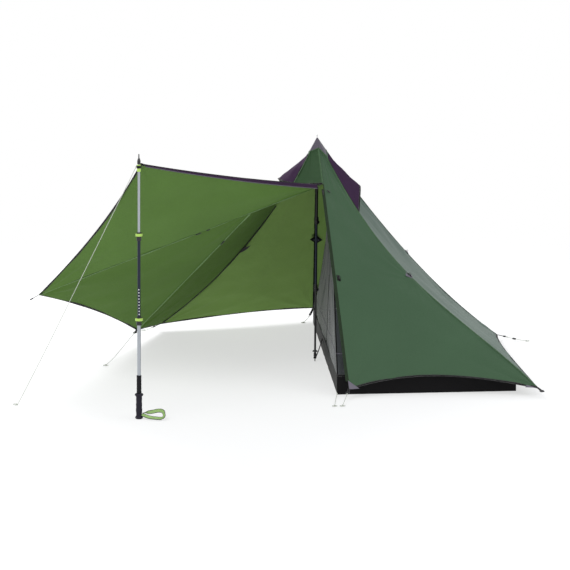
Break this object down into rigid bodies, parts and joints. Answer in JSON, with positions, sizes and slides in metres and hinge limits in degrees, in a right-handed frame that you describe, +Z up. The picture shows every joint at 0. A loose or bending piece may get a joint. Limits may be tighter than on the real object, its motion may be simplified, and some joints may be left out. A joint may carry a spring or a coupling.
{
  "type": "teepee tent",
  "caption": "Pitched teepee tent with an open awning porch held by an upturned trekking pole, mesh inner with tub floor, peak vents and guylines.",
  "frame": {"origin": "on the ground under the peak", "axes": "+Z up; +X from the open porch towards the back of the tent; +Y away from the viewer, along the tent"},
  "size_m": [3.004, 2.8721, 1.3146],
  "materials": {
    "fly_outer": "coated ripstop polyester, satin",
    "fly_inner_green": "coated ripstop polyester lit through, satin",
    "fly_back": "coated ripstop polyester, pale green, satin",
    "vent_purple": "coated polyester, dark purple, satin",
    "peak_cloth": "thin grey cloth",
    "webbing": "black polyester webbing and tape",
    "patch_cloth": "grey-purple reinforcement cloth",
    "mesh": "fine grey insect mesh",
    "tub": "black coated groundsheet cloth",
    "cord": "pale braided guy cord",
    "lime_strap": "lime woven strap with black edges",
    "black_plastic": "moulded black plastic",
    "lime_plastic": "moulded lime plastic",
    "grip_rubber": "moulded soft grip",
    "foam": "closed cell foam",
    "silver_tube": "satin anodised tube",
    "navy_tube": "dark anodised tube",
    "steel": "small steel parts"
  },
  "bodies": {
    "tent": {"near_panel": "fly_outer", "back_panel": "fly_back", "far_panel": "fly_inner_green", "far_front_panel": "fly_inner_green", "front_top_panel": "fly_outer", "awning_near": "fly_inner_green", "awning_mid": "fly_inner_green", "awning_strip": "fly_inner_green", "peak_cap": "peak_cloth", "peak_pin": "steel", "back_vent_hood": "vent_purple", "front_vent_hood": "vent_purple", "corner_patches": "patch_cloth", "corner_webbing": "webbing", "corner_buckles": "black_plastic", "mid_hip_patches": "patch_cloth", "ridge_band": "vent_purple", "toggles": "black_plastic", "door_zip_tape": "webbing", "tub_floor": "tub", "tub_walls": "tub", "mesh_walls": "mesh", "inner_zip_tape": "webbing", "foot_strap": "webbing", "porch_tip_tube": "silver_tube", "porch_tip": "black_plastic", "porch_collar": "lime_plastic", "centre_grip": "grip_rubber", "centre_foam_sleeve": "foam", "centre_upper_tube": "silver_tube", "centre_upper_lock": "black_plastic", "guy_porch_pole": "cord", "guy_awning": "cord", "guy_porch_far": "cord", "guy_near_left": "cord", "guy_groundsheet": "cord", "guy_far_left": "cord", "guy_far_right": "cord", "guy_loops": "cord"},
    "porch_mid": {"porch_mid_tube": "navy_tube", "porch_lower_lock": "black_plastic"},
    "porch_lower_lever": {"porch_lower_lever": "lime_plastic"},
    "porch_upper": {"porch_grip": "grip_rubber", "porch_foam_sleeve": "foam", "porch_wrist_strap": "lime_strap", "porch_upper_tube": "silver_tube", "porch_upper_lock": "black_plastic"},
    "porch_upper_lever": {"porch_upper_lever": "lime_plastic"},
    "centre_upper_lever": {"centre_upper_lever": "lime_plastic"},
    "centre_mid": {"centre_mid_tube": "navy_tube", "centre_lower_lock": "black_plastic"},
    "centre_lower_lever": {"centre_lower_lever": "lime_plastic"},
    "centre_tip": {"centre_tip_tube": "silver_tube", "centre_tip": "black_plastic", "centre_basket": "black_plastic"},
    "door_zip_slider": {"door_zip_slider": "steel"},
    "inner_zip_slider": {"inner_zip_slider": "steel"},
    "guy_lock": {"guy_lock": "black_plastic"}
  },
  "joints": [
    {"name": "porch_lower_slide", "type": "slide", "parent": "tent", "child": "porch_mid", "axis": [0.0122, 0, 0.9999], "range_m": [0, 0.25]},
    {"name": "porch_lower_lever_turn", "type": "hinge", "parent": "porch_mid", "child": "porch_lower_lever", "pos_m": [-0.96372, -1.48187, 0.91876], "axis": [0.0122, 0, 0.9999], "range_deg": [0, 110]},
    {"name": "porch_upper_slide", "type": "slide", "parent": "porch_mid", "child": "porch_upper", "axis": [0.0122, 0, 0.9999], "range_m": [0, 0.25]},
    {"name": "porch_upper_lever_turn", "type": "hinge", "parent": "porch_upper", "child": "porch_upper_lever", "pos_m": [-0.96741, -1.48136, 0.49977], "axis": [0.0122, 0, 0.9999], "range_deg": [0, 110]},
    {"name": "centre_upper_lever_turn", "type": "hinge", "parent": "tent", "child": "centre_upper_lever", "pos_m": [-0.01368, -0.04232, 0.81159], "axis": [-0.012, -0.0639, -0.9979], "range_deg": [0, 110]},
    {"name": "centre_upper_slide", "type": "slide", "parent": "tent", "child": "centre_mid", "axis": [0.012, 0.0639, 0.9979], "range_m": [0, 0.2]},
    {"name": "centre_lower_lever_turn", "type": "hinge", "parent": "centre_mid", "child": "centre_lower_lever", "pos_m": [-0.0176, -0.06602, 0.42133], "axis": [-0.012, -0.0639, -0.9979], "range_deg": [0, 110]},
    {"name": "centre_lower_slide", "type": "slide", "parent": "centre_mid", "child": "centre_tip", "axis": [0.012, 0.0639, 0.9979], "range_m": [0, 0.25]},
    {"name": "door_zip_slide", "type": "slide", "parent": "tent", "child": "door_zip_slider", "axis": [0.0577, -0.6498, -0.7579], "range_m": [0, 1.187]},
    {"name": "inner_zip_slide", "type": "slide", "parent": "tent", "child": "inner_zip_slider", "axis": [0.0461, 0.1059, 0.9933], "range_m": [0, 0.369]},
    {"name": "guy_lock_slide", "type": "slide", "parent": "tent", "child": "guy_lock", "axis": [0.8969, -0.426, -0.1188], "range_m": [0, 0.047]}
  ]
}
